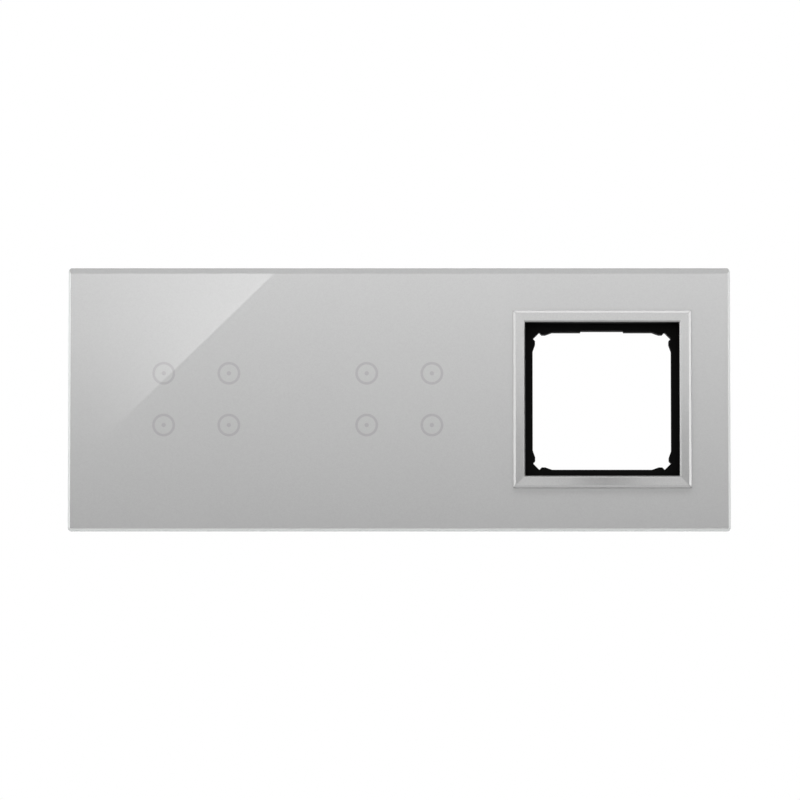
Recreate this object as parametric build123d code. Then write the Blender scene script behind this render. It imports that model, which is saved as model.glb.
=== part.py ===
from build123d import *
import os

# A three-gang glass touch panel: two touch gangs, and one gang with a window for an insert.
# Millimetres. X runs along the panel and Z is up. The wall is the plane y = 0, its inside is towards
# +Y, and the glass faces -Y. The origin is the middle of the panel on the wall.

# Panel
gang_pitch = 71.0
end_border = 9.3
panel_height = 92.4
panel_standoff = 10.5

# Glass and the tape behind it
glass_thickness = 4.0
glass_corner_radius = 1.2
glass_arris = 0.75
glass_back_arris = 0.3
top_facet_height = 2.0
top_facet_depth = 0.8
glass_window_radius = 2.0
tape_thickness = 0.8

# Trim ring, from the insert outwards
insert_size = 54.0
sleeve_wall = 1.6
sleeve_gap = 0.2
sleeve_corner_cut = 1.8
trim_border = 4.2
trim_height = 1.6
trim_edge_height = 0.7
trim_bevel_width = 0.9
trim_face_drop = 0.35
trim_inner_bevel = 0.5

# Tongues of the trim ring, hooked behind the carrier
tongue_width = 8.0
tongue_thickness = 1.2
tongue_length = 1.9
barb_reach = 1.4
barb_land = 0.35
barb_gap = 0.05

# Carrier
carrier_inset = 3.0
carrier_corner_cut = 2.0
web_thickness = 1.6
rim_wall = 1.6
rim_wall_gap = 0.4
touch_window = 56.0
window_corner_cut = 1.5
insert_window_ease = 0.3
divider_thickness = 1.2
divider_plate_gap = 0.3
stiffener_thickness = 1.0
stiffener_height = 1.2
stiffener_spacing = 40.0
stiffener_gap = 0.8
release_notch_width = 8.0
release_notch_height = 1.6

# Clips and the carrier blades that they grip
blade_thickness = 1.4
blade_width = 5.0
blade_plate_gap = 0.3
clip_inset = 4.2
clip_spacing = 40.0
clip_sheet = 0.4
clip_grip_gap = 0.015
clip_base_half = 1.2
clip_mouth_half = 1.35
clip_grip_height = 1.6
clip_height = 2.5

# Holder ring for the insert
holder_lip = 2.75
holder_ease = 0.2
holder_recess = 0.1
holder_boss_height = 2.2
holder_flange_reach = 4.1
holder_flange_thickness = 1.2
holder_flange_corner_cut = 2.0
holder_skirt_wall = 1.5
holder_skirt_height = 0.8
holder_corner_cut = 2.3
holder_lug_reach = 0.85
holder_lug_land = 1.2
holder_lug_taper = 2.4
holder_relief_width = 15.0
holder_relief_depth = 0.45
tongue_slot_ease = 0.5
holder_post_side = 5.0
holder_post_height = 1.5
holder_screw_inset = 2.5
holder_screw_length = 3.8

# Screws
screw_diameter = 2.2
screw_head_diameter = 4.0
screw_head_height = 1.2
screw_ease = 0.05

# Support plate
plate_thickness = 1.2
plate_spacing_gap = 0.6
plate_height = 70.4
plate_corner_cut = 2.0
fixing_spacing = 60.0
fixing_slot_width = 4.2
fixing_slot_length = 7.2
plate_lip_length = 44.0
plate_lip_height = 1.2
plate_tab_z = 15.0
plate_tab_width = 6.0
plate_tab_reach = 2.2
plate_tab_ease = 0.15

# Rear housing and the hooks inside it that hold the power board
housing_side = 46.0
housing_corner_cut = 7.5
housing_wall = 1.5
housing_depth = 24.0
housing_back_edge = 1.0
housing_ease = 0.3
flange_reach = 3.0
flange_corner_cut = 1.2
flange_thickness = 1.6
hook_z = -1.0
hook_width = 4.0
hook_thickness = 1.2
hook_edge_gap = 0.5
hook_shoulder = 2.2
hook_nose = 0.7
hook_nose_height = 0.9
hook_ease = 0.1

# Tray and sensor board
tray_wall = 1.4
tray_rim = 0.3
tray_window_width = 30.0
tray_window_height = 22.0
tray_bead_width = 6.0
tray_bead_overhang = 0.3
tray_screw_inset = 3.7
tray_screw_past_plate = 0.8
sensor_board_ease = 0.3
sensor_board_thickness = 1.2
sensor_corner_cut = 8.0

# Touch marks and what lies behind them
pad_spacing_x = 22.8
pad_spacing_z = 18.2
foam_side = 8.0
foam_hole = 3.0
foam_height = 1.5
foam_glass_gap = 0.05
led_length = 1.6
led_width = 0.8
led_height = 0.6

# Chip and header
controller_side = 7.0
controller_height = 1.2
controller_x = -7.0
link_x = 9.0
link_length = 15.2
link_socket_width = 5.0
link_socket_height = 4.0
link_plug_width = 2.5

# Power board and what stands on it
relay_board_depth = 3.0
relay_board_thickness = 1.6
relay_board_ease = 0.5
relay_length = 18.6
relay_width = 10.0
relay_height = 15.2
relay_gap = 0.6
relay_z = 10.8
relay_edge = 0.5
bobbin_width = 12.6
bobbin_length = 14.0
bobbin_height = 1.5
core_length = 9.0
core_height = 10.5
winding_width = 8.4
winding_height = 8.6
transformer_x = -8.8
transformer_z = -3.0
capacitor_diameter = 8.0
capacitor_height = 11.5
capacitor_edge = 0.4
capacitor_x = 6.0
capacitor_z = -3.0

# Terminal block
pole_count = 4
pole_pitch = 5.0
terminal_side_wall = 0.7
terminal_height = 9.6
terminal_depth = 12.8
terminal_ease = 0.2
terminal_foot_inset = 0.1
terminal_roof = 1.0
terminal_rear_cover = 3.8
wire_entry_width = 2.8
wire_entry_ledge = 0.5
wire_entry_ledge_depth = 0.8
wire_room = 1.2
cage_width = 4.0
cage_depth = 5.4
cage_height = 6.0
cage_floor = 1.8
cage_wall = 0.6
cage_ease = 0.1
clamp_screw_diameter = 2.6
clamp_screw_sink = 0.6
clamp_screw_reach = 0.4
clamp_well_side = 3.4

# Places along Y, from the glass back to the wall and on into it
glass_front = -panel_standoff
glass_back = glass_front + glass_thickness
tape_back = glass_back + tape_thickness
web_back = tape_back + web_thickness
rim_back = -rim_wall_gap
plate_front = -plate_thickness
flange_front = plate_front - flange_thickness
board_front = glass_back + foam_height
board_back = board_front + sensor_board_thickness
tray_front = board_front - tray_rim
holder_flange_front = web_back + holder_post_height
holder_flange_back = holder_flange_front + holder_flange_thickness
holder_front = holder_flange_front - holder_boss_height
sleeve_back = holder_front - holder_recess
relay_board_back = relay_board_depth + relay_board_thickness
housing_floor = housing_depth - housing_wall
cage_back = housing_depth - terminal_rear_cover
cage_front = cage_back - cage_depth

# Outlines and places across the panel
touch_gangs = {"left": -gang_pitch, "middle": 0.0}
window_gang = gang_pitch
panel_length = 3 * gang_pitch + 2 * end_border
inner_top = panel_height / 2 - carrier_inset - rim_wall
sleeve_outer = insert_size + 2 * sleeve_wall
glass_window = sleeve_outer + 2 * sleeve_gap
insert_window = glass_window + 2 * insert_window_ease
holder_boss = insert_window - 2 * holder_ease
holder_flange = holder_boss + 2 * holder_flange_reach
holder_opening = insert_size - 2 * holder_lip
holder_screw_place = holder_flange / 2 - holder_screw_inset
plate_side = gang_pitch - plate_spacing_gap
clip_x = plate_side / 2 - clip_inset
clip_z = clip_spacing / 2
flange_side = housing_side + 2 * flange_reach
tray_inner = flange_side - 2 * tray_wall
sensor_board_side = tray_inner - 2 * sensor_board_ease
tray_screw_place = flange_side / 2 - tray_screw_inset
relay_board_half = housing_side / 2 - housing_wall - relay_board_ease
hook_outer = relay_board_half - hook_edge_gap
hook_inner = hook_outer - hook_thickness
pads = [(x * pad_spacing_x / 2, z * pad_spacing_z / 2) for z in (1, -1) for x in (-1, 1)]
pole_places = [(i - (pole_count - 1) / 2) * pole_pitch for i in range(pole_count)]
terminal_length = pole_count * pole_pitch + 2 * terminal_side_wall
terminal_bottom = -housing_side / 2
terminal_top = terminal_bottom + terminal_height
terminal_front = housing_depth - terminal_depth
cage_top = terminal_top - terminal_roof
cage_bottom = cage_top - cage_height
cage_y = (cage_front + cage_back) / 2
wire_low = cage_bottom + cage_floor
wire_high = cage_top - cage_wall


def slab(outline, back, front):
    """The outline, drawn in X and Z, filled from y = back forward to y = front."""
    return extrude(Plane.XZ.offset(-back) * outline, amount=back - front)


def bar(section, start, end):
    """The section, drawn in Y and Z, carried along X from start to end."""
    return extrude(Plane.YZ.offset(start) * section, amount=end - start)


def post(section, bottom, top):
    """The section, drawn in X and Y, raised along Z from bottom to top."""
    return extrude(Plane.XY.offset(bottom) * section, amount=top - bottom)


def polygon(*points):
    """A face with straight edges through the points."""
    return make_face(Polyline(*points, close=True))


def cut_square(side, cut):
    """A square with its corners cut off."""
    return chamfer(Rectangle(side, side).vertices(), cut)


def four(x, z):
    """The four places at plus and minus x and z."""
    return [(i * x, j * z) for i in (-1, 1) for j in (-1, 1)]


def at(places, outline):
    """The outline repeated at each place."""
    return Sketch() + [Pos(x, z) * outline for x, z in places]


def screw(x, z, seat, length, head_side):
    """A round-headed screw along Y: its head lies on y = seat, on the side that head_side gives."""
    crown = seat + head_side * screw_head_height
    tip = seat - head_side * length
    head = slab(Pos(x, z) * Circle(screw_head_diameter / 2), max(seat, crown), min(seat, crown))
    return head + slab(Pos(x, z) * Circle(screw_diameter / 2), max(seat, tip), min(seat, tip))


def screw_hole():
    """The outline of a hole that passes a screw or takes its thread."""
    return Circle(screw_diameter / 2 + screw_ease)


def make_glass_panel():
    """One sheet of glass with an arris all round and a wider facet along its top edge."""
    outline = RectangleRounded(panel_length, panel_height, glass_corner_radius)
    window = RectangleRounded(glass_window, glass_window, glass_window_radius)
    glass = slab(outline - Pos(window_gang, 0) * window, glass_back, glass_front)
    glass = chamfer(glass.faces().sort_by(Axis.Y)[0].outer_wire().edges(), glass_arris)
    glass = chamfer(glass.faces().sort_by(Axis.Y)[-1].outer_wire().edges(), glass_back_arris)
    top = panel_height / 2
    facet = polygon(
        (glass_front, top - top_facet_height),
        (glass_front + top_facet_depth, top),
        (glass_front + top_facet_depth, top + 1),
        (glass_front - 1, top + 1),
        (glass_front - 1, top - top_facet_height),
    )
    return glass - bar(facet, -panel_length, panel_length)


def carrier_outline():
    """The outer outline shared by the carrier and the tape."""
    outline = Rectangle(panel_length - 2 * carrier_inset, panel_height - 2 * carrier_inset)
    return chamfer(outline.vertices(), carrier_corner_cut)


def carrier_windows():
    """The openings shared by the carrier and the tape: one for each touch gang and the insert's."""
    places = [(x, 0) for x in touch_gangs.values()]
    touch = cut_square(touch_window, window_corner_cut)
    return at(places, touch) + Pos(window_gang, 0) * cut_square(insert_window, sleeve_gap)


def make_bonding_tape():
    """Die-cut foam tape between the glass and the carrier."""
    return slab(carrier_outline() - carrier_windows(), tape_back, glass_back)


def stiffener_outlines():
    """Low ribs from above and below each window to the carrier's rim."""
    ribs = []
    tops = {x: touch_window / 2 for x in touch_gangs.values()}
    tops[window_gang] = holder_flange / 2
    for gang_x, window_top in tops.items():
        low = window_top + stiffener_gap
        rib = Rectangle(stiffener_thickness, inner_top - low)
        ribs += [Pos(gang_x + x, z) * rib for x, z in four(stiffener_spacing / 2, (low + inner_top) / 2)]
    return Sketch() + ribs


def make_panel_carrier():
    """Moulded frame with a rim, dividers, stiffeners, clip blades and posts for the holder ring."""
    outline = carrier_outline()
    carrier = slab(outline - carrier_windows(), web_back, tape_back)
    carrier += slab(outline - offset(outline, -rim_wall, kind=Kind.INTERSECTION), rim_back, web_back)
    divider = Rectangle(divider_thickness, 2 * inner_top)
    dividers = at([(-gang_pitch / 2, 0), (gang_pitch / 2, 0)], divider)
    carrier += slab(dividers, plate_front - divider_plate_gap, web_back)
    carrier += slab(stiffener_outlines(), web_back + stiffener_height, web_back)
    rim_middle = -(panel_height - rim_wall) / 2 + carrier_inset
    blades = at(four(clip_x, clip_z), Rectangle(blade_thickness, blade_width))
    blade_tip = plate_front - clip_sheet - blade_plate_gap
    for gang_x in touch_gangs.values():
        carrier += slab(Pos(gang_x, 0) * blades, blade_tip, web_back)
        notch = Pos(gang_x, rim_middle) * Rectangle(release_notch_width, 2 * rim_wall)
        carrier -= slab(notch, 0, rim_back - release_notch_height)
    places = four(holder_screw_place, holder_screw_place)
    posts = Pos(window_gang, 0) * at(places, Rectangle(holder_post_side, holder_post_side))
    carrier += slab(posts, holder_flange_front, web_back)
    holes = Pos(window_gang, 0) * at(places, screw_hole())
    hole_depth = holder_screw_length - holder_flange_thickness + screw_ease
    return carrier - slab(holes, holder_flange_front, holder_flange_front - hole_depth)


def trim_tongue():
    """One tongue of the trim ring on its +X side, with a barb that hooks behind the carrier."""
    outer = sleeve_outer / 2
    inner = outer - tongue_thickness
    tip = sleeve_back + tongue_length
    hook = web_back + barb_gap
    section = polygon(
        (inner, sleeve_back),
        (outer, sleeve_back),
        (outer, hook),
        (outer + barb_reach, hook),
        (outer + barb_reach, hook + barb_land),
        (outer, tip),
        (inner, tip),
    )
    return post(section, -tongue_width / 2, tongue_width / 2)


def make_window_trim():
    """Mitred bezel that rests on the glass, a sleeve through the glass and four hooked tongues."""
    inner = insert_size / 2
    outer = inner + trim_border
    front = glass_front - trim_height
    section = polygon(
        (inner, glass_front),
        (outer, glass_front),
        (outer, glass_front - trim_edge_height),
        (outer - trim_bevel_width, front + trim_face_drop),
        (inner + trim_inner_bevel, front),
        (inner, front + trim_inner_bevel),
    )
    turns = [(inner, inner), (-inner, inner), (-inner, -inner), (inner, -inner)]
    path = Plane.XZ * Polyline((inner, 0), *turns, (inner, 0))
    trim = sweep(section, path=path, transition=Transition.RIGHT)
    sleeve = cut_square(sleeve_outer, sleeve_corner_cut)
    trim += slab(sleeve - Rectangle(insert_size, insert_size), sleeve_back, glass_front)
    for quarter in range(4):
        trim += Rot(0, 90 * quarter, 0) * trim_tongue()
    return Pos(window_gang, 0, 0) * trim


def holder_opening_outline():
    """The square opening with cut corners, a lug beside each corner and a shallow relief along the top."""
    half = holder_opening / 2
    opening = cut_square(holder_opening, holder_corner_cut)
    relief = Rectangle(holder_relief_width, holder_opening + holder_relief_depth)
    opening += Pos(0, holder_relief_depth / 2) * relief
    lug_start = half - holder_corner_cut
    land_start = lug_start - holder_lug_reach
    land_end = land_start - holder_lug_land
    lug_end = land_end - holder_lug_taper
    lug = [
        (lug_start, half + holder_relief_depth),
        (lug_start, half),
        (land_start, half - holder_lug_reach),
        (land_end, half - holder_lug_reach),
        (lug_end, half),
        (lug_end, half + holder_relief_depth),
    ]
    for i, j in four(1, 1):
        opening -= polygon(*[(i * u, j * v) for u, v in lug])
        opening -= polygon(*[(i * v, j * u) for u, v in lug])
    return opening


def tongue_slots():
    """Slots at the middle of each side of the holder's boss, clear of the trim ring's tongues."""
    width = tongue_width + 2 * tongue_slot_ease
    inner = sleeve_outer - 2 * (tongue_thickness + tongue_slot_ease)
    cross = Rectangle(holder_flange, width) + Rectangle(width, holder_flange)
    return cross - Rectangle(inner, inner)


def make_insert_holder():
    """Ring that takes the insert: a boss inside the carrier's window, a flange behind it and a skirt."""
    opening = holder_opening_outline()
    boss = cut_square(holder_boss, holder_flange_corner_cut)
    holder = slab(boss - opening - tongue_slots(), holder_flange_front, holder_front)
    flange = cut_square(holder_flange, holder_flange_corner_cut)
    holes = at(four(holder_screw_place, holder_screw_place), screw_hole())
    holder += slab(flange - opening - holes, holder_flange_back, holder_flange_front)
    skirt_side = holder_opening + 2 * holder_skirt_wall
    skirt = Rectangle(skirt_side, skirt_side) - opening
    holder += slab(skirt, holder_flange_back + holder_skirt_height, holder_flange_back)
    return Pos(window_gang, 0, 0) * holder


def make_holder_screws():
    """Four screws through the holder's flange into the carrier's posts."""
    places = four(holder_screw_place, holder_screw_place)
    screws = [screw(x, z, holder_flange_back, holder_screw_length, 1) for x, z in places]
    return Pos(window_gang, 0, 0) * (Part() + screws)


def housing_outline():
    """The square with cut corners that fits a round wall box."""
    return cut_square(housing_side, housing_corner_cut)


def tray_screw_places():
    """Two opposite corners of the tray."""
    return [(tray_screw_place, tray_screw_place), (-tray_screw_place, -tray_screw_place)]


def make_support_plate():
    """Steel plate with fixing slots, folded lips, and a tab and notch that line up neighbouring plates."""
    edge = plate_side / 2
    plate = chamfer(Rectangle(plate_side, plate_height).vertices(), plate_corner_cut)
    plate += Pos(edge, plate_tab_z) * Rectangle(2 * plate_tab_reach, plate_tab_width)
    notch_depth = plate_tab_reach - plate_spacing_gap + plate_tab_ease
    notch = Rectangle(2 * notch_depth, plate_tab_width + 2 * plate_tab_ease)
    plate -= Pos(-edge, plate_tab_z) * notch
    plate -= offset(housing_outline(), housing_ease, kind=Kind.INTERSECTION)
    slot = SlotOverall(fixing_slot_length, fixing_slot_width)
    reach = fixing_spacing / 2
    plate -= at([(-reach, 0), (reach, 0)], slot) + at([(0, -reach), (0, reach)], Rot(0, 0, 90) * slot)
    plate -= at(tray_screw_places(), screw_hole())
    lip_z = (plate_height - plate_thickness) / 2
    lips = at([(0, -lip_z), (0, lip_z)], Rectangle(plate_lip_length, plate_thickness))
    return slab(plate, 0, plate_front) + slab(lips, plate_front, plate_front - plate_lip_height)


def clip_section():
    """Spring strip bent to a U, pinched to the blade's thickness and flared at its mouth."""
    foot = plate_front - clip_sheet / 2
    grip = blade_thickness / 2 + clip_grip_gap + clip_sheet / 2
    right = [
        (clip_base_half, foot),
        (clip_base_half, foot - clip_sheet),
        (grip, plate_front - clip_grip_height),
        (clip_mouth_half, plate_front - clip_height),
    ]
    left = [(-x, y) for x, y in reversed(right)]
    return trace(Polyline(*left, *right), line_width=clip_sheet)


def make_panel_clips():
    """Four spring clips on the support plate, one for each blade of the carrier."""
    clip = post(clip_section(), -blade_width / 2, blade_width / 2)
    return Part() + [Pos(x, 0, z) * clip for x, z in four(clip_x, clip_z)]


def board_hook():
    """Post on the +X side of the housing: a shoulder for the power board and a hook over its edge."""
    under_nose = relay_board_depth - screw_ease
    tip = under_nose - hook_nose_height
    section = polygon(
        (hook_inner - hook_shoulder, housing_floor),
        (hook_inner - hook_shoulder, relay_board_back),
        (hook_inner, relay_board_back),
        (hook_inner, under_nose),
        (hook_inner - hook_nose, under_nose),
        (hook_inner, tip),
        (hook_outer, tip),
        (hook_outer, housing_floor),
    )
    return post(section, hook_z - hook_width / 2, hook_z + hook_width / 2)


def make_rear_housing():
    """Moulded box with a flange in front of the plate, board hooks and an opening for the terminals."""
    outline = housing_outline()
    cavity = offset(outline, -housing_wall, kind=Kind.INTERSECTION)
    body = slab(outline, housing_depth, flange_front)
    body = chamfer(body.faces().sort_by(Axis.Y)[-1].edges(), housing_back_edge)
    flange = cut_square(flange_side, flange_corner_cut) - at(tray_screw_places(), screw_hole())
    body += slab(flange, plate_front, flange_front)
    body -= slab(cavity, housing_floor, flange_front)
    body += board_hook() + mirror(board_hook(), about=Plane.YZ)
    opening = Rectangle(terminal_length + 2 * terminal_ease, 2 * (terminal_height + terminal_ease))
    opening = Pos(0, terminal_bottom) * opening
    return body - slab(opening, housing_depth, terminal_front - terminal_ease)


def make_sensor_tray():
    """Tray with a pocket for the sensor board, a window in its floor and a bead over each board edge."""
    outline = cut_square(flange_side, flange_corner_cut)
    window = Rectangle(tray_window_width, tray_window_height)
    tray = slab(outline - window - at(tray_screw_places(), screw_hole()), flange_front, board_back)
    tray += slab(outline - Rectangle(tray_inner, tray_inner), board_back, tray_front)
    bead_depth = sensor_board_ease + tray_bead_overhang
    bead = Pos(0, (tray_inner - bead_depth) / 2) * Rectangle(tray_bead_width, bead_depth)
    beads = Sketch() + [Rot(0, 0, 90 * quarter) * bead for quarter in range(4)]
    return tray + slab(beads, board_front, tray_front)


def make_sensor_board():
    """Board with cut corners that clear the tray's screw heads."""
    return slab(cut_square(sensor_board_side, sensor_corner_cut), board_back, board_front)


def make_touch_foam(x, z):
    """Conductive foam pad between the board and the back of the glass, with a hole for the light."""
    outline = Rectangle(foam_side, foam_side) - Rectangle(foam_hole, foam_hole)
    return slab(Pos(x, z) * outline, board_front, glass_back + foam_glass_gap)


def make_indicator_led(x, z):
    """Surface-mounted light in the middle of a foam pad."""
    return slab(Pos(x, z) * Rectangle(led_length, led_width), board_front, board_front - led_height)


def make_touch_controller():
    """Chip on the back of the sensor board."""
    outline = Pos(controller_x, 0) * Rectangle(controller_side, controller_side)
    return slab(outline, board_back + controller_height, board_back)


def make_board_link():
    """Socket on the power board and the plug in it, up to the sensor board."""
    shoulder = relay_board_depth - link_socket_height
    socket = Pos(link_x, 0) * Rectangle(link_socket_width, link_length)
    plug = Pos(link_x, 0) * Rectangle(link_plug_width, link_length)
    return slab(socket, relay_board_depth, shoulder) + slab(plug, shoulder, board_back)


def make_relay_board():
    """Power board that follows the inside of the housing, notched for the two hooks."""
    outline = offset(housing_outline(), -housing_wall - relay_board_ease, kind=Kind.INTERSECTION)
    notch_edge = hook_inner - hook_ease
    notch = Rectangle(2 * (relay_board_half - notch_edge), hook_width + 2 * hook_ease)
    notches = at([(-relay_board_half, hook_z), (relay_board_half, hook_z)], notch)
    return slab(outline - notches, relay_board_back, relay_board_depth)


def make_relay(side):
    """Relay case with softened top edges, left or right of the middle."""
    x = side * (relay_length + relay_gap) / 2
    outline = Pos(x, relay_z) * Rectangle(relay_length, relay_width)
    case = slab(outline, relay_board_back + relay_height, relay_board_back)
    return chamfer(case.faces().sort_by(Axis.Y)[-1].edges(), relay_edge)


def make_supply_transformer():
    """Bobbin foot, ferrite core and the winding that stands out of both of its sides."""
    base = relay_board_back + bobbin_height
    foot = slab(Rectangle(bobbin_width, bobbin_length), base, relay_board_back)
    core = slab(Rectangle(bobbin_width, core_length), relay_board_back + core_height, base)
    winding = slab(Rectangle(winding_width, bobbin_length), relay_board_back + winding_height, base)
    return Pos(transformer_x, 0, transformer_z) * (foot + core + winding)


def make_supply_capacitor():
    """Round can with a rolled top edge."""
    outline = Pos(capacitor_x, capacitor_z) * Circle(capacitor_diameter / 2)
    can = slab(outline, relay_board_back + capacitor_height, relay_board_back)
    return chamfer(can.faces().sort_by(Axis.Y)[-1].edges(), capacitor_edge)


def make_terminal_block():
    """Block with a foot on the board, a stepped wire entry, a cage pocket and a screw well per pole."""
    profile = polygon(
        (housing_depth, terminal_bottom),
        (housing_depth, terminal_top),
        (relay_board_back, terminal_top),
        (relay_board_back, -relay_board_half + terminal_foot_inset),
        (terminal_front, -relay_board_half + terminal_foot_inset),
        (terminal_front, terminal_bottom),
    )
    body = bar(profile, -terminal_length / 2, terminal_length / 2)
    wire_z = (wire_low + wire_high) / 2
    entry_places = [(x, wire_z) for x in pole_places]
    entry = Rectangle(wire_entry_width, wire_high - wire_low)
    mouth = Rectangle(wire_entry_width + 2 * wire_entry_ledge, wire_high - wire_low + 2 * wire_entry_ledge)
    body -= slab(at(entry_places, entry), housing_depth, cage_front - wire_room)
    body -= slab(at(entry_places, mouth), housing_depth, housing_depth - wire_entry_ledge_depth)
    pocket = Rectangle(cage_width + 2 * cage_ease, cage_height + 2 * cage_ease)
    pockets = at([(x, (cage_bottom + cage_top) / 2) for x in pole_places], pocket)
    body -= slab(pockets, cage_back + cage_ease, cage_front - cage_ease)
    wells = at([(x, cage_y) for x in pole_places], Rectangle(clamp_well_side, clamp_well_side))
    return body - post(wells, terminal_bottom, cage_bottom - cage_ease)


def make_terminal_cages():
    """Clamp cages, each with a window for the wire and a slot in its floor for the clamp screw."""
    cage = Rectangle(cage_width, cage_height) - Pos(0, (cage_floor - cage_wall) / 2) * Rectangle(
        cage_width - 2 * cage_wall, wire_high - wire_low
    )
    cages = slab(at([(x, (cage_bottom + cage_top) / 2) for x in pole_places], cage), cage_back, cage_front)
    slot_side = clamp_screw_diameter + 2 * screw_ease
    slots = at([(x, cage_y) for x in pole_places], Rectangle(slot_side, slot_side))
    return cages - post(slots, cage_bottom, wire_low)


def make_terminal_screws():
    """Clamp screws that reach up through the wells into the cages."""
    screws = at([(x, cage_y) for x in pole_places], Circle(clamp_screw_diameter / 2))
    return post(screws, terminal_bottom + clamp_screw_sink, wire_low + clamp_screw_reach)


def make_tray_screws():
    """Two screws through the tray and the housing's flange into the support plate."""
    length = tray_screw_past_plate - board_back
    return Part() + [screw(x, z, board_back, length, -1) for x, z in tray_screw_places()]


def front_pieces():
    """The pieces that come off with the glass."""
    return {
        "glass_panel": make_glass_panel(),
        "bonding_tape": make_bonding_tape(),
        "panel_carrier": make_panel_carrier(),
        "window_trim": make_window_trim(),
        "insert_holder": make_insert_holder(),
        "holder_screws": make_holder_screws(),
    }


def touch_module_pieces():
    """The pieces of one touch gang, around x = 0."""
    pieces = {
        "support_plate": make_support_plate(),
        "panel_clips": make_panel_clips(),
        "rear_housing": make_rear_housing(),
        "sensor_tray": make_sensor_tray(),
        "sensor_board": make_sensor_board(),
        "touch_controller": make_touch_controller(),
        "board_link": make_board_link(),
        "relay_board": make_relay_board(),
        "relay_1": make_relay(-1),
        "relay_2": make_relay(1),
        "supply_transformer": make_supply_transformer(),
        "supply_capacitor": make_supply_capacitor(),
        "terminal_block": make_terminal_block(),
        "terminal_cages": make_terminal_cages(),
        "terminal_screws": make_terminal_screws(),
        "tray_screws": make_tray_screws(),
    }
    for number, (x, z) in enumerate(pads, start=1):
        pieces[f"touch_foam_{number}"] = make_touch_foam(x, z)
        pieces[f"indicator_led_{number}"] = make_indicator_led(x, z)
    return pieces


def main():
    os.makedirs("parts", exist_ok=True)
    pieces = front_pieces()
    module = touch_module_pieces()
    for gang, x in touch_gangs.items():
        for name, piece in module.items():
            pieces[f"{gang}_{name}"] = Pos(x, 0, 0) * piece
    for name, piece in pieces.items():
        export_step(piece, f"parts/{name}.step")


main()
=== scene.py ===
import bpy
import bmesh
import numpy as np
from mathutils import Matrix, Vector


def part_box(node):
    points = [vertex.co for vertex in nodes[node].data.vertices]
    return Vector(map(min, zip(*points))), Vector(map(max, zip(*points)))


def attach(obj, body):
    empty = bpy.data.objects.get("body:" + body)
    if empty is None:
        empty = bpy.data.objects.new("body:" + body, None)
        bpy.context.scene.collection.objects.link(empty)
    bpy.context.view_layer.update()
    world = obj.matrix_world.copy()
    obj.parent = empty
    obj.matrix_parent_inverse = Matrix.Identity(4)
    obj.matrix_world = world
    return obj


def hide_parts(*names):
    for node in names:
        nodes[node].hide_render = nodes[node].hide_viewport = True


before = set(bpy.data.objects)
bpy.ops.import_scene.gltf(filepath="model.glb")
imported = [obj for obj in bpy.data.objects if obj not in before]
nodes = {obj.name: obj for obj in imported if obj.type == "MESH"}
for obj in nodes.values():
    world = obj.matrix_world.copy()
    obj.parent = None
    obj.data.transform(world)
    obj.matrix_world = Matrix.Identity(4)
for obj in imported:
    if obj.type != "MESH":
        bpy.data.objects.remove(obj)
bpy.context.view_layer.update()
glass_low, glass_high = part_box("glass_panel")
trim_low, trim_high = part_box("window_trim")
MM = 0.001
WINDOW_MIDDLE = (trim_low.x + trim_high.x) / 2
WINDOW_HALF = 27 * MM
GANGS = ("left_", "middle_")
NUMBERS = "1234"
WALL_SIDE, FRONT_PANEL = "wall_side", "front_panel"
WHITE = (1.0, 1.0, 1.0, 1.0)
NO_FADE = (2.0, 3.0)
GLASS_IOR, PLASTIC_IOR = 1.52, 1.5


# colours and nodes
def shade(code):
    """Linear colour of an sRGB hex value: each channel through the sRGB curve."""
    part = np.array([int(code[i:i + 2], 16) for i in (1, 3, 5)]) / 255
    flat = np.where(part <= 0.04045, part / 12.92, ((part + 0.055) / 1.055) ** 2.4)
    return (*flat.tolist(), 1.0)


def add(tree, kind, sockets=(), **settings):
    """Adds a node, sets its own properties, then fills or links its inputs by name or number. By number, a
    colour mix has its share at 0 and its colours at 6 and 7, and gives its colour at output 2. A map range
    has its value at 0, the range that it comes from at 1 and 2, and the range that it goes to at 3 and 4."""
    made = tree.nodes.new(kind)
    for name, value in settings.items():
        setattr(made, name, value)
    for key, value in dict(sockets).items():
        if isinstance(value, bpy.types.NodeSocket):
            tree.links.new(value, made.inputs[key])
        else:
            made.inputs[key].default_value = value
    return made.outputs


def begin(name):
    """A new material, its node tree, its output node and its Object coordinates."""
    material = bpy.data.materials.new(name)
    material.use_nodes = True
    tree = material.node_tree
    tree.nodes.clear()
    end = tree.nodes.new("ShaderNodeOutputMaterial")
    return material, tree, end, add(tree, "ShaderNodeTexCoord")["Object"]


def per_mm(size):
    """Texture scale at which one cell of a pattern is size millimetres."""
    return 1 / (size * MM)


def finish_off(tree, end, shader):
    """Links the shader to the material's output."""
    tree.links.new(shader, end.inputs["Surface"])


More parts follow.
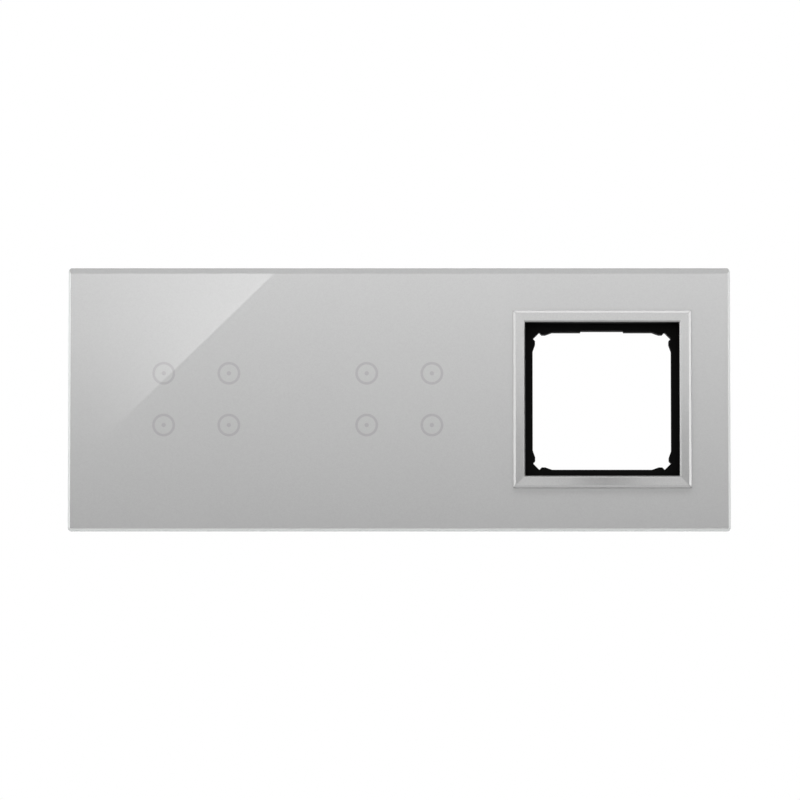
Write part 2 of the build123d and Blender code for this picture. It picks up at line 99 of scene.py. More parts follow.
# materials
def moulded(name, light, dark, grit, depth, gloss, specular=0.5):
    """Injection-moulded plastic. The spark-eroded mould leaves a fine even grit that breaks up highlights,
    and the melt's flow leaves faint slow clouds in colour. grit and depth are in millimetres."""
    material, tree, end, place = begin(name)
    flow, spread = 9, 0.07
    cloud = add(tree, "ShaderNodeTexNoise", {"Vector": place, "Scale": per_mm(flow), "Detail": 3.0})["Fac"]
    grain = add(tree, "ShaderNodeTexNoise", {
        "Vector": place, "Scale": per_mm(grit), "Detail": 4.0, "Roughness": 0.6,
    })["Fac"]
    both = add(tree, "ShaderNodeMath", {0: cloud, 1: grain}, operation="ADD")[0]
    share = add(tree, "ShaderNodeMapRange", {0: both, 1: 0.7, 2: 1.3, 3: 0.0, 4: 1.0})[0]
    colour = add(tree, "ShaderNodeMix", {0: share, 6: shade(dark), 7: shade(light)}, data_type="RGBA")[2]
    rough = add(tree, "ShaderNodeMapRange", {
        0: grain, 1: 0.35, 2: 0.65, 3: gloss - spread, 4: gloss + spread,
    })[0]
    bump = add(tree, "ShaderNodeBump", {"Height": grain, "Strength": 0.6, "Distance": depth * MM})[0]
    shader = add(tree, "ShaderNodeBsdfPrincipled", {
        "Base Color": colour, "Roughness": rough, "Normal": bump, "IOR": PLASTIC_IOR,
        "Specular IOR Level": specular,
    })[0]
    finish_off(tree, end, shader)
    return material


def sheet_metal(name, light, dark, grain, depth, gloss, drawn=(1.0, 1.0, 1.0)):
    """Plated or plain metal. Slow clouds from the plating bath tint it, and fine grain, stretched along
    drawn where the sheet was rolled, spreads its highlights. Sizes are in millimetres."""
    material, tree, end, place = begin(name)
    bath, spread = 3, 0.08
    turned = add(tree, "ShaderNodeMapping", {"Vector": place, "Scale": drawn})[0]
    cloud = add(tree, "ShaderNodeTexNoise", {"Vector": place, "Scale": per_mm(bath), "Detail": 4.0})["Fac"]
    fine = add(tree, "ShaderNodeTexNoise", {"Vector": turned, "Scale": per_mm(grain), "Detail": 3.0})["Fac"]
    share = add(tree, "ShaderNodeMapRange", {0: cloud, 1: 0.3, 2: 0.7, 3: 0.0, 4: 1.0})[0]
    colour = add(tree, "ShaderNodeMix", {0: share, 6: shade(dark), 7: shade(light)}, data_type="RGBA")[2]
    total = add(tree, "ShaderNodeMath", {0: cloud, 1: fine}, operation="ADD")[0]
    rough = add(tree, "ShaderNodeMapRange", {
        0: total, 1: 0.7, 2: 1.3, 3: gloss - spread, 4: gloss + spread,
    })[0]
    bump = add(tree, "ShaderNodeBump", {"Height": fine, "Strength": 0.5, "Distance": depth * MM})[0]
    shader = add(tree, "ShaderNodeBsdfPrincipled", {
        "Base Color": colour, "Metallic": 1.0, "Roughness": rough, "Normal": bump,
    })[0]
    finish_off(tree, end, shader)
    return material


def back_painted_glass():
    """Low-iron float glass with silver-grey enamel fired on its back. The enamel shows as an even grey with
    very fine metal flake and slow drifts in its thickness, and the fire-polished face over it is smooth
    enough to mirror a softbox sharply."""
    material, tree, end, place = begin("back_painted_glass")
    light, dark = shade("#ABABAB"), shade("#A6A6A6")
    flake = add(tree, "ShaderNodeTexVoronoi", {"Vector": place, "Scale": per_mm(0.35)})["Color"]
    speck = add(tree, "ShaderNodeSeparateColor", {0: flake})[0]
    drift = add(tree, "ShaderNodeTexNoise", {"Vector": place, "Scale": per_mm(40), "Detail": 2.0})["Fac"]
    both = add(tree, "ShaderNodeMath", {0: speck, 1: drift}, operation="ADD")[0]
    share = add(tree, "ShaderNodeMapRange", {0: both, 1: 0.3, 2: 1.7, 3: 0.0, 4: 1.0})[0]
    colour = add(tree, "ShaderNodeMix", {0: share, 6: dark, 7: light}, data_type="RGBA")[2]
    rough = add(tree, "ShaderNodeMapRange", {0: speck, 1: 0.0, 2: 1.0, 3: 0.5, 4: 0.65})[0]
    shader = add(tree, "ShaderNodeBsdfPrincipled", {
        "Base Color": colour, "Roughness": rough, "Specular IOR Level": 0.0,
        "Coat Weight": 1.0, "Coat Roughness": 0.0, "Coat IOR": GLASS_IOR,
    })[0]
    finish_off(tree, end, shader)
    return material


def glass_edge(name, front, middle, back, gloss):
    """Ground and polished edge of the glass. Its colour through the glass's depth is painted light standing
    in
    for the light in a clear edge: a painted highlight palest near the face, painted shade deepest half way
    through, and lighter again at the paint. Fine grinding marks run lengthwise."""
    material, tree, end, place = begin(name)
    along_edge = (0.02, 1.0, 0.02)
    depth = add(tree, "ShaderNodeSeparateXYZ", {0: place})[1]
    share = add(tree, "ShaderNodeMapRange", {0: depth, 1: glass_low.y, 2: glass_high.y, 3: 0.0, 4: 1.0})[0]
    # the ramp paints light: a painted highlight near the face, painted shade half way through
    ramp = tree.nodes.new("ShaderNodeValToRGB")
    tree.links.new(share, ramp.inputs[0])
    colours = ramp.color_ramp.elements
    colours[0].color, colours[1].color = shade(front), shade(back)
    colours.new(0.55).color = shade(middle)
    drawn = add(tree, "ShaderNodeMapping", {"Vector": place, "Scale": along_edge})[0]
    marks = add(tree, "ShaderNodeTexNoise", {"Vector": drawn, "Scale": per_mm(0.12), "Detail": 3.0})["Fac"]
    rough = add(tree, "ShaderNodeMapRange", {0: marks, 1: 0.3, 2: 0.7, 3: gloss, 4: gloss + 0.12})[0]
    bump = add(tree, "ShaderNodeBump", {"Height": marks, "Strength": 0.1, "Distance": 0.005 * MM})[0]
    shader = add(tree, "ShaderNodeBsdfPrincipled", {
        "Base Color": ramp.outputs[0], "Roughness": rough, "Normal": bump, "IOR": GLASS_IOR,
    })[0]
    finish_off(tree, end, shader)
    return material


def mark_ink():
    """Darker grey screen ink of the touch marks under the same glass, a little uneven where the mesh of the
    screen let it through."""
    material, tree, end, place = begin("mark_ink")
    light, dark = shade("#9F9F9F"), shade("#969696")
    screen = add(tree, "ShaderNodeTexNoise", {"Vector": place, "Scale": per_mm(0.4), "Detail": 2.0})["Fac"]
    colour = add(tree, "ShaderNodeMix", {0: screen, 6: dark, 7: light}, data_type="RGBA")[2]
    shader = add(tree, "ShaderNodeBsdfPrincipled", {
        "Base Color": colour, "Roughness": 0.6, "Specular IOR Level": 0.0,
        "Coat Weight": 1.0, "Coat Roughness": 0.0, "Coat IOR": GLASS_IOR,
    })[0]
    finish_off(tree, end, shader)
    return material


def silver_lacquer():
    """Satin silver paint under a clear lacquer on moulded ABS. It gives a soft sheen that dims towards the
    floor, is speckled by fine aluminium flake and has a slight orange peel from spraying."""
    material, tree, end, place = begin("silver_lacquer")
    light, dark = shade("#888887"), shade("#7F7F7F")
    flake = add(tree, "ShaderNodeTexVoronoi", {"Vector": place, "Scale": per_mm(0.18)})["Color"]
    speck = add(tree, "ShaderNodeSeparateColor", {0: flake})[0]
    peel = add(tree, "ShaderNodeTexNoise", {"Vector": place, "Scale": per_mm(1.2), "Detail": 2.0})["Fac"]
    colour = add(tree, "ShaderNodeMix", {0: speck, 6: dark, 7: light}, data_type="RGBA")[2]
    rough = add(tree, "ShaderNodeMapRange", {0: speck, 1: 0.0, 2: 1.0, 3: 0.06, 4: 0.1})[0]
    bump = add(tree, "ShaderNodeBump", {"Height": peel, "Strength": 0.1, "Distance": 0.01 * MM})[0]
    shader = add(tree, "ShaderNodeBsdfPrincipled", {
        "Base Color": colour, "Metallic": 0.06, "Roughness": rough, "Normal": bump,
        "Specular IOR Level": 0.95,
    })[0]
    finish_off(tree, end, shader)
    return material


def solder_mask():
    """Green solder mask over glass-fibre board. Copper tracks lie under it as slightly raised lighter lines
    on a 1.3 mm grid, running one way or the other from patch to patch."""
    material, tree, end, place = begin("solder_mask")
    track_pitch, track_half, track_edge, patch_size = 1.3 * MM, 0.16 * MM, 0.22 * MM, 6.5 * MM
    light, dark, copper = shade("#1B5E38"), shade("#14502E"), shade("#2F8A4E")
    patch = add(tree, "ShaderNodeVectorMath", {0: place, 1: (patch_size,) * 3}, operation="SNAP")[0]
    way = add(tree, "ShaderNodeTexWhiteNoise", {"Vector": patch}, noise_dimensions="3D")["Value"]
    xyz = add(tree, "ShaderNodeSeparateXYZ", {0: place})
    along = add(tree, "ShaderNodeMath", {0: way, 1: 0.5}, operation="GREATER_THAN")[0]
    line = add(tree, "ShaderNodeMix", {0: along, 2: xyz[0], 3: xyz[2]})[0]
    comb = add(tree, "ShaderNodeMath", {0: line, 1: track_pitch / 2}, operation="PINGPONG")[0]
    track = add(tree, "ShaderNodeMapRange", {0: comb, 1: track_half, 2: track_edge, 3: 1.0, 4: 0.0})[0]
    fibre = add(tree, "ShaderNodeTexNoise", {"Vector": place, "Scale": per_mm(0.8), "Detail": 2.0})["Fac"]
    bare = add(tree, "ShaderNodeMix", {0: fibre, 6: dark, 7: light}, data_type="RGBA")[2]
    colour = add(tree, "ShaderNodeMix", {0: track, 6: bare, 7: copper}, data_type="RGBA")[2]
    bump = add(tree, "ShaderNodeBump", {"Height": track, "Strength": 0.6, "Distance": 0.03 * MM})[0]
    shader = add(tree, "ShaderNodeBsdfPrincipled", {
        "Base Color": colour, "Roughness": 0.28, "Normal": bump, "IOR": PLASTIC_IOR,
    })[0]
    finish_off(tree, end, shader)
    return material


def open_foam(name, light, dark, cell):
    """Open-cell foam. Its cut cells show as pits that take the shine away: each is bumped in and painted
    darker towards its middle, painted shade. cell is in millimetres.
    """
    material, tree, end, place = begin(name)
    pit_depth_and_shade = add(tree, "ShaderNodeTexVoronoi", {"Vector": place, "Scale": per_mm(cell)})["Distance"]
    # the pits are painted darker towards their middles: painted shade
    colour = add(tree, "ShaderNodeMix", {0: pit_depth_and_shade, 6: shade(dark), 7: shade(light)}, data_type="RGBA")[2]
    bump = add(tree, "ShaderNodeBump", {"Height": pit_depth_and_shade, "Strength": 0.8, "Distance": 0.1 * MM})[0]
    shader = add(tree, "ShaderNodeBsdfPrincipled", {
        "Base Color": colour, "Roughness": 0.9, "Normal": bump,
    })[0]
    finish_off(tree, end, shader)
    return material


def shrink_sleeve():
    """Glossy black shrink sleeve on the capacitor's can, wrinkled a little where it shrank. The wrinkles are
    painted lighter on their crests and darker in their troughs, painted light and shade over their bump.
    """
    material, tree, end, place = begin("shrink_sleeve")
    light, dark = shade("#1C1E24"), shade("#101114")
    wrinkle_height_and_shade = add(tree, "ShaderNodeTexNoise", {"Vector": place, "Scale": per_mm(2.5), "Detail": 2.0})["Fac"]
    # the wrinkles' crests are painted lighter and their troughs darker: painted light and shade
    colour = add(tree, "ShaderNodeMix", {0: wrinkle_height_and_shade, 6: dark, 7: light}, data_type="RGBA")[2]
    bump = add(tree, "ShaderNodeBump", {"Height": wrinkle_height_and_shade, "Strength": 0.3, "Distance": 0.05 * MM})[0]
    shader = add(tree, "ShaderNodeBsdfPrincipled", {
        "Base Color": colour, "Roughness": 0.25, "Normal": bump,
    })[0]
    finish_off(tree, end, shader)
    return material


black_moulding = moulded("black_abs", "#1B1B1C", "#121213", 0.35, 0.02, 0.55)
# the holder, and the window's lining that wears the same finish, are far darker and duller than the
# carrier's black moulding: partly black plastic, partly painted shade of the deep window
holder_moulding = moulded("black_abs_and_painted_shade", "#050505", "#020202", 0.3, 0.015, 0.62, specular=0.03)
housing_moulding = moulded("dark_grey_polycarbonate", "#48494B", "#3A3B3D", 0.4, 0.03, 0.5)
tray_moulding = moulded("white_polycarbonate", "#E4E3DE", "#D6D5CF", 0.3, 0.01, 0.42)
terminal_moulding = moulded("grey_polyamide", "#8E9192", "#7E8182", 0.3, 0.015, 0.48)
relay_case = moulded("blue_relay_case", "#2A62AE", "#1F5096", 0.5, 0.01, 0.35)
chip_package = moulded("chip_epoxy", "#202021", "#161617", 0.15, 0.01, 0.6)
header_moulding = moulded("header_nylon", "#1A1A1B", "#101011", 0.25, 0.01, 0.45)
ferrite = moulded("sintered_ferrite", "#3A3A3C", "#29292B", 0.5, 0.03, 0.65)
led_package = moulded("led_white_body", "#F2F0E6", "#E4E1D2", 0.3, 0.005, 0.35)
tape_foam = open_foam("acrylic_foam_tape", "#4A4A4C", "#29292B", 0.25)
conductive_foam = open_foam("conductive_foam", "#47474A", "#242427", 0.3)
zinc_plate = sheet_metal("zinc_plated_sheet", "#BFC0BE", "#A4A6A5", 0.25, 0.01, 0.34, drawn=(0.15, 1.0, 1.0))
zinc_screw = sheet_metal("zinc_plated_screw", "#CFCFCA", "#AFB0AC", 0.3, 0.01, 0.3)
spring_strip = sheet_metal("tempered_spring_strip", "#A7A8AC", "#8D8E93", 0.2, 0.01, 0.3)
brass = sheet_metal("pressed_brass", "#D9BE7C", "#C3A560", 0.3, 0.01, 0.3)
glass = back_painted_glass()
# the edge's colours from face to back: painted highlight, painted shade, and lighter again at the paint
side_edge = glass_edge("polished_glass_edge", "#ECEEED", "#A1A8A6", "#AEB1B0", 0.08)
back_enamel = moulded("fired_back_enamel", "#7E7F80", "#747576", 0.2, 0.004, 0.6)
ink = mark_ink()
silver = silver_lacquer()
board = solder_mask()
sleeve = shrink_sleeve()


# finishes of the CAD nodes
def wear(node, *finishes):
    """Gives a CAD node its finishes, one slot each."""
    mesh = nodes[node].data
    mesh.materials.clear()
    for finish in finishes:
        mesh.materials.append(finish)


def split(node, rule):
    """Sets which finish each face of the node wears: rule works it out from their middles and normals."""
    mesh = nodes[node].data
    count = len(mesh.polygons)
    middle, normal = np.zeros(count * 3), np.zeros(count * 3)
    mesh.polygons.foreach_get("center", middle)
    mesh.polygons.foreach_get("normal", normal)
    picked = rule(middle.reshape(-1, 3), normal.reshape(-1, 3))
    mesh.polygons.foreach_set("material_index", picked.astype(np.int32))
    mesh.update()


def glass_faces(middle, normal):
    """0 for the glass face and the wide facet along its top, 2 for the enamelled back, 1 for the edges."""
    x, y, z = normal.T
    front = (y < -0.5) & (z > -0.1) & (abs(x) < 0.1)
    back = y > 0.99
    return np.select([front, back], [0, 2], 1)


def trim_faces(middle, normal):
    """1, black, for what lies behind the glass face or lines the window, and 0 for the silver ring. The
    black is the holder's finish, partly painted shade of the deep window.
    """
    x, y, z = middle.T
    slack = 0.1 * MM
    across = np.maximum(abs(x - WINDOW_MIDDLE), abs(z))
    lining = (across < WINDOW_HALF + slack) & (abs(normal[:, 1]) < 0.1)
    return (y > glass_low.y + slack) | lining


module_finishes = {
    "support_plate": zinc_plate, "panel_clips": spring_strip, "rear_housing": housing_moulding,
    "sensor_tray": tray_moulding, "sensor_board": board, "touch_controller": chip_package,
    "board_link": header_moulding, "relay_board": board, "relay_1": relay_case, "relay_2": relay_case,
    "supply_transformer": ferrite, "supply_capacitor": sleeve, "terminal_block": terminal_moulding,
    "terminal_cages": brass, "terminal_screws": zinc_screw, "tray_screws": zinc_screw,
}
for number in NUMBERS:
    module_finishes["touch_foam_" + number] = conductive_foam
    module_finishes["indicator_led_" + number] = led_package
for gang in GANGS:
    for name, finish in module_finishes.items():
        wear(gang + name, finish)
wear("glass_panel", glass, side_edge, back_enamel)
split("glass_panel", glass_faces)
wear("bonding_tape", tape_foam)
wear("panel_carrier", black_moulding)
wear("window_trim", silver, holder_moulding)
split("window_trim", trim_faces)
wear("insert_holder", holder_moulding)
wear("holder_screws", zinc_screw)


def soften(node, width):
    """Rounds the node's sharp edges by width millimetres, as moulding and pressing leave them, between flat
    faces. Its loose triangles are joined first."""
    nodes[node].data.shade_flat()
    weld = nodes[node].modifiers.new("weld", "WELD")
    weld.merge_threshold = 0.001 * MM
    bevel = nodes[node].modifiers.new("soft_edges", "BEVEL")
    bevel.width, bevel.segments = width * MM, 2
    bevel.limit_method, bevel.angle_limit = "ANGLE", np.radians(28)


module_edges = {
    "rear_housing": 0.3, "terminal_block": 0.12, "sensor_tray": 0.12, "support_plate": 0.1,
    "relay_1": 0.15, "relay_2": 0.15, "supply_transformer": 0.15,
}
for name, width in module_edges.items():
    for gang in GANGS:
        soften(gang + name, width)
soften("window_trim", 0.12)
soften("insert_holder", 0.12)
soften("panel_carrier", 0.15)


# new pieces, worked out in millimetres
def box_mm(node):
    """Lowest and highest corner of a CAD node in millimetres, to the nearest micrometre."""
    return [np.round(np.array(corner) / MM, 3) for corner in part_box(node)]


def piece(name, points, faces, body, finish):
    """A mesh at the origin from points in millimetres and faces, its doubles merged and its faces turned
    outwards."""
    mesh = bpy.data.meshes.new(name)
    mesh.from_pydata((MM * points).reshape(-1, 3).tolist(), [], faces.tolist())
    work = bmesh.new()
    work.from_mesh(mesh)
    bmesh.ops.remove_doubles(work, verts=work.verts, dist=0.0001 * MM)
    bmesh.ops.recalc_face_normals(work, faces=work.faces)
    work.to_mesh(mesh)
    work.free()
    mesh.materials.append(finish)
    made = bpy.data.objects.new(name, mesh)
    bpy.context.scene.collection.objects.link(made)
    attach(made, body)
    return made


def grid_faces(rows, columns, start=0):
    """Faces of a grid of points whose rows close on themselves."""
    i, j = np.meshgrid(np.arange(rows - 1), np.arange(columns), indexing="ij")
    k = (j + 1) % columns
    corners = [i * columns + j, i * columns + k, (i + 1) * columns + k, (i + 1) * columns + j]
    return start + np.stack(corners, -1).reshape(-1, 4)


def touch_marks():
    """The printed ring and dot in front of each touch foam: a flat band between two radii and a small disc.
    Each is a thin section of print, given by its radii and its depths from the glass face, carried round a
    circle about the foam's middle."""
    turn = np.linspace(0, 2 * np.pi, 96, endpoint=False)
    inner, outer, dot = 3.1, 4.0, 0.75
    front, back = -0.012, -0.002
    band = ((inner, front), (outer, front), (outer, back), (inner, back), (inner, front))
    disc = ((0.0, front), (dot, front), (dot, back), (0.0, back))
    face = box_mm("glass_panel")[0][1]
    points, faces, start = [], [], 0
    for foam in [gang + "touch_foam_" + number for gang in GANGS for number in NUMBERS]:
        x, _, z = sum(box_mm(foam)) / 2
        for section in (band, disc):
            radius, depth = np.array(section).T[:, :, None]
            ring = (x + radius * np.cos(turn), face + depth + 0 * turn, z + radius * np.sin(turn))
            points.append(np.stack(ring, -1).reshape(-1, 3))
            faces.append(grid_faces(len(section), turn.size, start))
            start += len(section) * turn.size
    points, faces = np.concatenate(points), np.concatenate(faces)
    piece("touch_marks", points, faces, FRONT_PANEL, ink)


def screw_points(head, crown, shoulder, crest, root, length, pitch, recess):
    """Points of a screw about its own axis, with its seat at 0 and its head towards plus. A profile runs
    from the crown, which falls with the square of the radius, over the rim, under the head and down the
    shank, and is carried round a circle. recess sinks the crown. The right-hand thread is a ridge that
    climbs one pitch a turn and dies out at both ends, and the shank narrows over its last pitch."""
    facets, rows_a_pitch, narrowing = 64, 12, 0.3
    dome_rows, dome_share = 30, 0.94
    flank, gap = 2.2, 1.0
    turn = np.linspace(0, 2 * np.pi, facets, endpoint=False)
    dome = np.linspace(0, dome_share, dome_rows)
    rim = np.array([(0.985, shoulder), (1.0, shoulder - 0.1), (1.0, 0.06), (0.98, 0.0)])
    shank = np.linspace(0, length, int(rows_a_pitch * length / pitch))
    radius = np.concatenate([dome * head, rim[:, 0] * head, root + 0 * shank, [0]])[:, None] + 0 * turn
    height = np.concatenate([crown - (crown - shoulder) * dome ** 2, rim[:, 1], -shank, [-length]])
    height = height[:, None] + 0 * turn
    sunk = slice(0, dome.size + 1)
    height[sunk] -= recess(radius[sunk] * np.cos(turn), radius[sunk] * np.sin(turn))
    threaded = slice(dome.size + len(rim), dome.size + len(rim) + shank.size)
    wave = (shank[:, None] / pitch + turn / (2 * np.pi)) % 1
    ridge = np.clip(flank * (1 - abs(2 * wave - 1)) - gap, 0, 1)
    fade = np.clip(np.minimum(shank, length - shank) / pitch, 0, 1)[:, None]
    taper = narrowing * root * np.clip(1 - (length - shank) / pitch, 0, 1)[:, None]
    radius[threaded] = root - taper + (crest - root) * ridge * fade
    return np.stack([radius * np.cos(turn), radius * np.sin(turn), height], -1)


def cross_recess(u, v):
    """Depth of a cross recess: two crossed slots that grow shallower away from the middle."""
    depth, reach, half_width, flank = 0.8, 1.5, 0.34, 0.12
    away = np.hypot(u, v)
    arm = np.minimum(abs(u), abs(v))
    return depth * np.clip(1 - away / reach, 0, 1) ** 0.5 * np.clip((half_width - arm) / flank, 0, 1)


def straight_slot(u, v):
    """Depth of a plain slot right across the head."""
    depth, half_width, flank = 0.6, 0.34, 0.1
    return depth * np.clip((half_width - abs(u)) / flank, 0, 1)


def screws(node, body, kind, out, spots):
    """Detailed screws of one kind in place of a CAD node, their heads towards out. The node's box gives
    their length, the height of their seats and how far they reach from its middle, and spots are shares of
    that reach across and up."""
    low, high = box_mm(node)
    axes = np.array([(1, 0, 0), np.cross(out, (1, 0, 0)), out], float)
    tall = abs((high - low) @ axes[2])
    shape = screw_points(length=round(tall - kind["crown"], 3), **kind)
    seat = (low + high) / 2 + (tall / 2 - kind["crown"]) * axes[2]
    reach = (high[0] - low[0]) / 2 - kind["head"]
    places = [seat + reach * (across * axes[0] + up * abs(axes[1])) for across, up in spots]
    rows, columns = shape.shape[:2]
    points = np.concatenate([(place + shape @ axes).reshape(-1, 3) for place in places])
    faces = np.concatenate([grid_faces(rows, columns, i * rows * columns) for i in range(len(places))])
    made = piece("turned_" + node, points, faces, body, zinc_screw)
    made.data.shade_smooth()
    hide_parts(node)


def chip_parts(gang, name, blocks, finish):
    """Small surface-mounted parts in three rows on the front of a sensor board, each of one or two blocks. A
    block is a rectangle carried along the part's length through four stations, and has at each the size
    that the station's second number gives."""
    rows, columns, row_pitch, column_pitch, stagger = 3, 5, 7.0, 3.2, 0.9
    half_width, height, gap = 0.4, 0.44, 0.01
    low, high = box_mm(gang + "sensor_board")
    middle, face = (low[0] + high[0]) / 2, low[1] - gap
    corner = np.array([(-1, -0.5), (1, -0.5), (1, 0.5), (-1, 0.5)])
    points, faces = [], []
    for along, size in np.array(blocks).transpose(0, 2, 1):
        for i in range(rows):
            for j in range(columns):
                x = middle + column_pitch * (j - columns // 2)
                z = row_pitch * (i - rows // 2) + stagger * (j % 2)
                side = x + half_width * size[:, None] * corner[:, 0]
                depth = face - height * (0.5 + size[:, None] * corner[:, 1])
                faces.append(grid_faces(along.size, len(corner), len(corner) * along.size * len(points)))
                points.append(np.stack([side, depth, z + along[:, None] + 0 * side], -1).reshape(-1, 3))
    piece(gang + name, np.concatenate(points), np.concatenate(faces), WALL_SIDE, finish)


# kinds of screw, and where each set of them stands
pan_head = {
    "head": 2.0, "crown": 1.2, "shoulder": 0.75, "crest": 1.08, "root": 0.85, "pitch": 0.8,
    "recess": cross_recess,
}
clamp_screw = {
    "head": 1.3, "crown": 1.2, "shoulder": 1.2, "crest": 1.28, "root": 1.05, "pitch": 0.5,
    "recess": straight_slot,
}
four_corners = [(-1, -1), (-1, 1), (1, -1), (1, 1)]
two_corners = [(-1, -1), (1, 1)]
four_poles = [(-1, 0), (-1 / 3, 0), (1 / 3, 0), (1, 0)]

# small parts on the boards: a dark body, and two solder ends that take hold of it
body_half, end_middle, end_half = 0.55, 0.65, 0.15
chip_body = ((-body_half, 0.0), (-body_half, 0.94), (body_half, 0.94), (body_half, 0.0))
chip_ends = [
    ((i - end_half, 0.0), (i - end_half, 1.0), (i + end_half, 1.0), (i + end_half, 0.0))
    for i in (-end_middle, end_middle)
]

touch_marks()
screws("holder_screws", FRONT_PANEL, pan_head, (0, 1, 0), four_corners)
for gang in GANGS:
    screws(gang + "tray_screws", WALL_SIDE, pan_head, (0, -1, 0), two_corners)
    screws(gang + "terminal_screws", WALL_SIDE, clamp_screw, (0, 0, -1), four_poles)
    chip_parts(gang, "chip_bodies", [chip_body], chip_package)
    chip_parts(gang, "chip_ends", chip_ends, zinc_screw)


# room, lamps and camera
def seen_directly(tree):
    """1 for rays from the camera, off mirrors and through glass, and 0 for those that gather light."""
    path = add(tree, "ShaderNodeLightPath")
    seen = path["Is Camera Ray"]
    for way in ("Is Glossy Ray", "Is Transmission Ray"):
        seen = add(tree, "ShaderNodeMath", {0: seen, 1: path[way]}, operation="MAXIMUM")[0]
    return seen


def stage_floor():
    """A pale floor below the panel. It adds white for the camera and for mirrors, keeps the shadow, and lets
    a camera below it look through."""
    material, tree, end, place = begin("pale_floor")
    matt = add(tree, "ShaderNodeBsdfDiffuse", {0: shade("#E6E6E6")})[0]
    glow = add(tree, "ShaderNodeEmission", {0: WHITE, 1: seen_directly(tree)})[0]
    pale = add(tree, "ShaderNodeAddShader", {0: matt, 1: glow})[0]
    below = add(tree, "ShaderNodeNewGeometry")["Backfacing"]
    clear = add(tree, "ShaderNodeBsdfTransparent")[0]
    finish_off(tree, end, add(tree, "ShaderNodeMixShader", {0: below, 1: pale, 2: clear})[0])
    span, level = 12.0, -0.45
    bpy.ops.mesh.primitive_plane_add(size=span, location=(0, 0, level))
    floor = bpy.context.object
    floor.name = "floor"
    floor.data.materials.append(material)


def room_light():
    """An even pale room: white to the camera, to mirrors and through glass, and dim as a lamp."""
    world = bpy.data.worlds.new("room")
    bpy.context.scene.world = world
    world.use_nodes = True
    tree = world.node_tree
    tree.nodes.clear()
    dim, white = 0.12, 1.0
    seen = seen_directly(tree)
    strength = add(tree, "ShaderNodeMapRange", {0: seen, 1: 0.0, 2: 1.0, 3: dim, 4: white})[0]
    sky = add(tree, "ShaderNodeBackground", {0: WHITE, 1: strength})[0]
    finish_off(tree, tree.nodes.new("ShaderNodeOutputWorld"), sky)


def turn_to(thing, place, aim):
    """Puts a lamp or camera into the scene at place and points it at aim."""
    thing.location = place
    thing.rotation_euler = (Vector(aim) - Vector(place)).to_track_quat("-Z", "Y").to_euler()
    bpy.context.scene.collection.objects.link(thing)


def lamp(name, place, aim, size, power, mirrored=True, lights=True):
    """A rectangular soft lamp at place, turned to aim. The camera doesn't see it. It shows in gloss only if
    mirrored, and falls on matt surfaces only if lights."""
    light = bpy.data.lights.new(name, "AREA")
    light.shape = "RECTANGLE"
    light.size, light.size_y = size
    light.energy = power
    made = bpy.data.objects.new(name, light)
    made.visible_camera, made.visible_glossy, made.visible_diffuse = False, mirrored, lights
    turn_to(made, place, aim)


def softbox(name, corner, along, across, size, full, fade_along=NO_FADE, fade_across=NO_FADE):
    """A softbox seen only as its image in gloss: a rectangle of a length and a width from one corner along
    two directions. Each way it fades to nothing between two distances from that corner, or glows evenly,
    because without a fade both distances are past its far side."""
    material, tree, end, place = begin(name)
    xyz = add(tree, "ShaderNodeSeparateXYZ", {0: place})
    lengthwise = add(tree, "ShaderNodeMapRange", {
        0: xyz[0], 1: fade_along[0], 2: fade_along[1], 3: 1.0, 4: 0.0,
    }, interpolation_type="SMOOTHSTEP")[0]
    crosswise = add(tree, "ShaderNodeMapRange", {
        0: xyz[1], 1: fade_across[0], 2: fade_across[1], 3: full, 4: 0.0,
    })[0]
    strength = add(tree, "ShaderNodeMath", {0: lengthwise, 1: crosswise}, operation="MULTIPLY")[0]
    glow = add(tree, "ShaderNodeEmission", {0: WHITE, 1: strength})[0]
    clear = add(tree, "ShaderNodeBsdfTransparent")[0]
    finish_off(tree, end, add(tree, "ShaderNodeAddShader", {0: clear, 1: glow})[0])
    length, width = size
    mesh = bpy.data.meshes.new(name)
    mesh.from_pydata([(0, 0, 0), (length, 0, 0), (length, width, 0), (0, width, 0)], [], [(0, 1, 2, 3)])
    mesh.materials.append(material)
    made = bpy.data.objects.new(name, mesh)
    along, across = Vector(along), Vector(across)
    made.matrix_world = Matrix((along, across, along.cross(across))).transposed().to_4x4()
    made.location = corner
    made.visible_camera = made.visible_diffuse = made.visible_shadow = made.visible_transmission = False
    bpy.context.scene.collection.objects.link(made)


def photo_camera():
    """The camera, 3 m away and 6 degrees below the middle of the panel."""
    distance, below = 3.0, np.radians(6)
    view = bpy.data.cameras.new("photo_camera")
    view.lens = 386
    camera = bpy.data.objects.new("photo_camera", view)
    aim = Vector((0.00025, -0.0105, -0.0003))
    turn_to(camera, aim + distance * Vector((0, -np.cos(below), -np.sin(below))), aim)
    bpy.context.scene.camera = camera


stage_floor()
room_light()

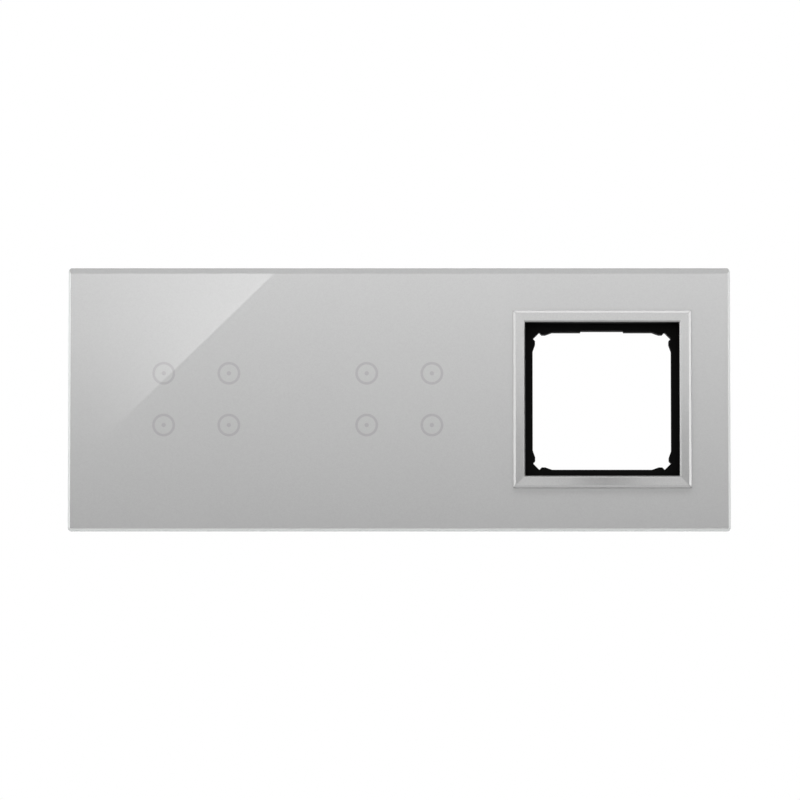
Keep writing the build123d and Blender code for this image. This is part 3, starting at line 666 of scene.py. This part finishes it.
# lamps: key and front light the panel and back_fill what is behind it, and the strips and cards show only
# in gloss, mostly in the bevels of the trim
panel = (0.0, -0.01, 0.0)
lamp("key", (0.0, -0.17, 0.38), panel, (0.8, 0.12), 1.4)
lamp("front", (0.0, -1.6, 0.3), panel, (1.2, 0.8), 16.1, mirrored=False)
lamp("left_strip", (-0.85, -0.5, 0.2), panel, (0.3, 0.7), 3.2, lights=False)
lamp("right_strip", (0.85, -0.5, 0.2), panel, (0.3, 0.7), 3.9, lights=False)
lamp("left_card", (-0.85, -0.1, 0.08), panel, (0.3, 0.5), 1.6, lights=False)
lamp("right_card", (0.85, -0.1, 0.08), panel, (0.3, 0.5), 0.9, lights=False)
window_foot = (WINDOW_MIDDLE, -0.01, -0.03)
lamp("floor_card", (WINDOW_MIDDLE, -0.285, -0.42), window_foot, (0.3, 0.12), 0.17, lights=False)
lamp("back_fill", (-0.5, 1.1, 0.9), (0, 0, 0), (0.8, 0.8), 12.0, mirrored=False)

# softboxes about 1 m in front of the glass, in three planes because where two meet in one plane only one of
# them shows: the glass mirrors corner_box, whose edge crosses it on a slant, and top_box, which shades it
# from top to bottom, and the four bars of the trim mirror the others
LEFT, RIGHT, UP, DOWN = (-1, 0, 0), (1, 0, 0), (0, 0, 1), (0, 0, -1)
far, near, nearest = (glass_low.y - distance for distance in (1.02, 1.0, 0.98))
slant = np.radians(44.15)
slant_down, slant_up = (-np.cos(slant), 0, -np.sin(slant)), (-np.sin(slant), 0, np.cos(slant))
softbox("corner_box", (-0.0201, near, 0.2016), slant_down, slant_up, (0.25, 0.2), 2.8,
        fade_along=(0.09, 0.182), fade_across=(0, 0.075))
softbox("top_box", (-0.7, far, 0.3), RIGHT, DOWN, (1.4, 0.3), 4.0, fade_across=(0.11, 0.26))
softbox("high_box", (-0.7, far, 0.3), UP, RIGHT, (0.4, 1.4), 3.0)
softbox("low_left_box", (0.086, far, -0.07), DOWN, LEFT, (0.2, 0.8), 2.4)
softbox("low_right_box", (0.108, far, -0.07), DOWN, RIGHT, (0.2, 0.8), 2.4)
softbox("left_side_box", (-0.16, nearest, 0.1), LEFT, UP, (0.14, 0.12), 0.72, fade_across=(0, 0.12))
softbox("right_side_box", (0.25, nearest, 0.1), RIGHT, UP, (0.25, 0.12), 0.72, fade_across=(0, 0.12))
photo_camera()
bpy.context.scene.view_settings.view_transform = "Standard"
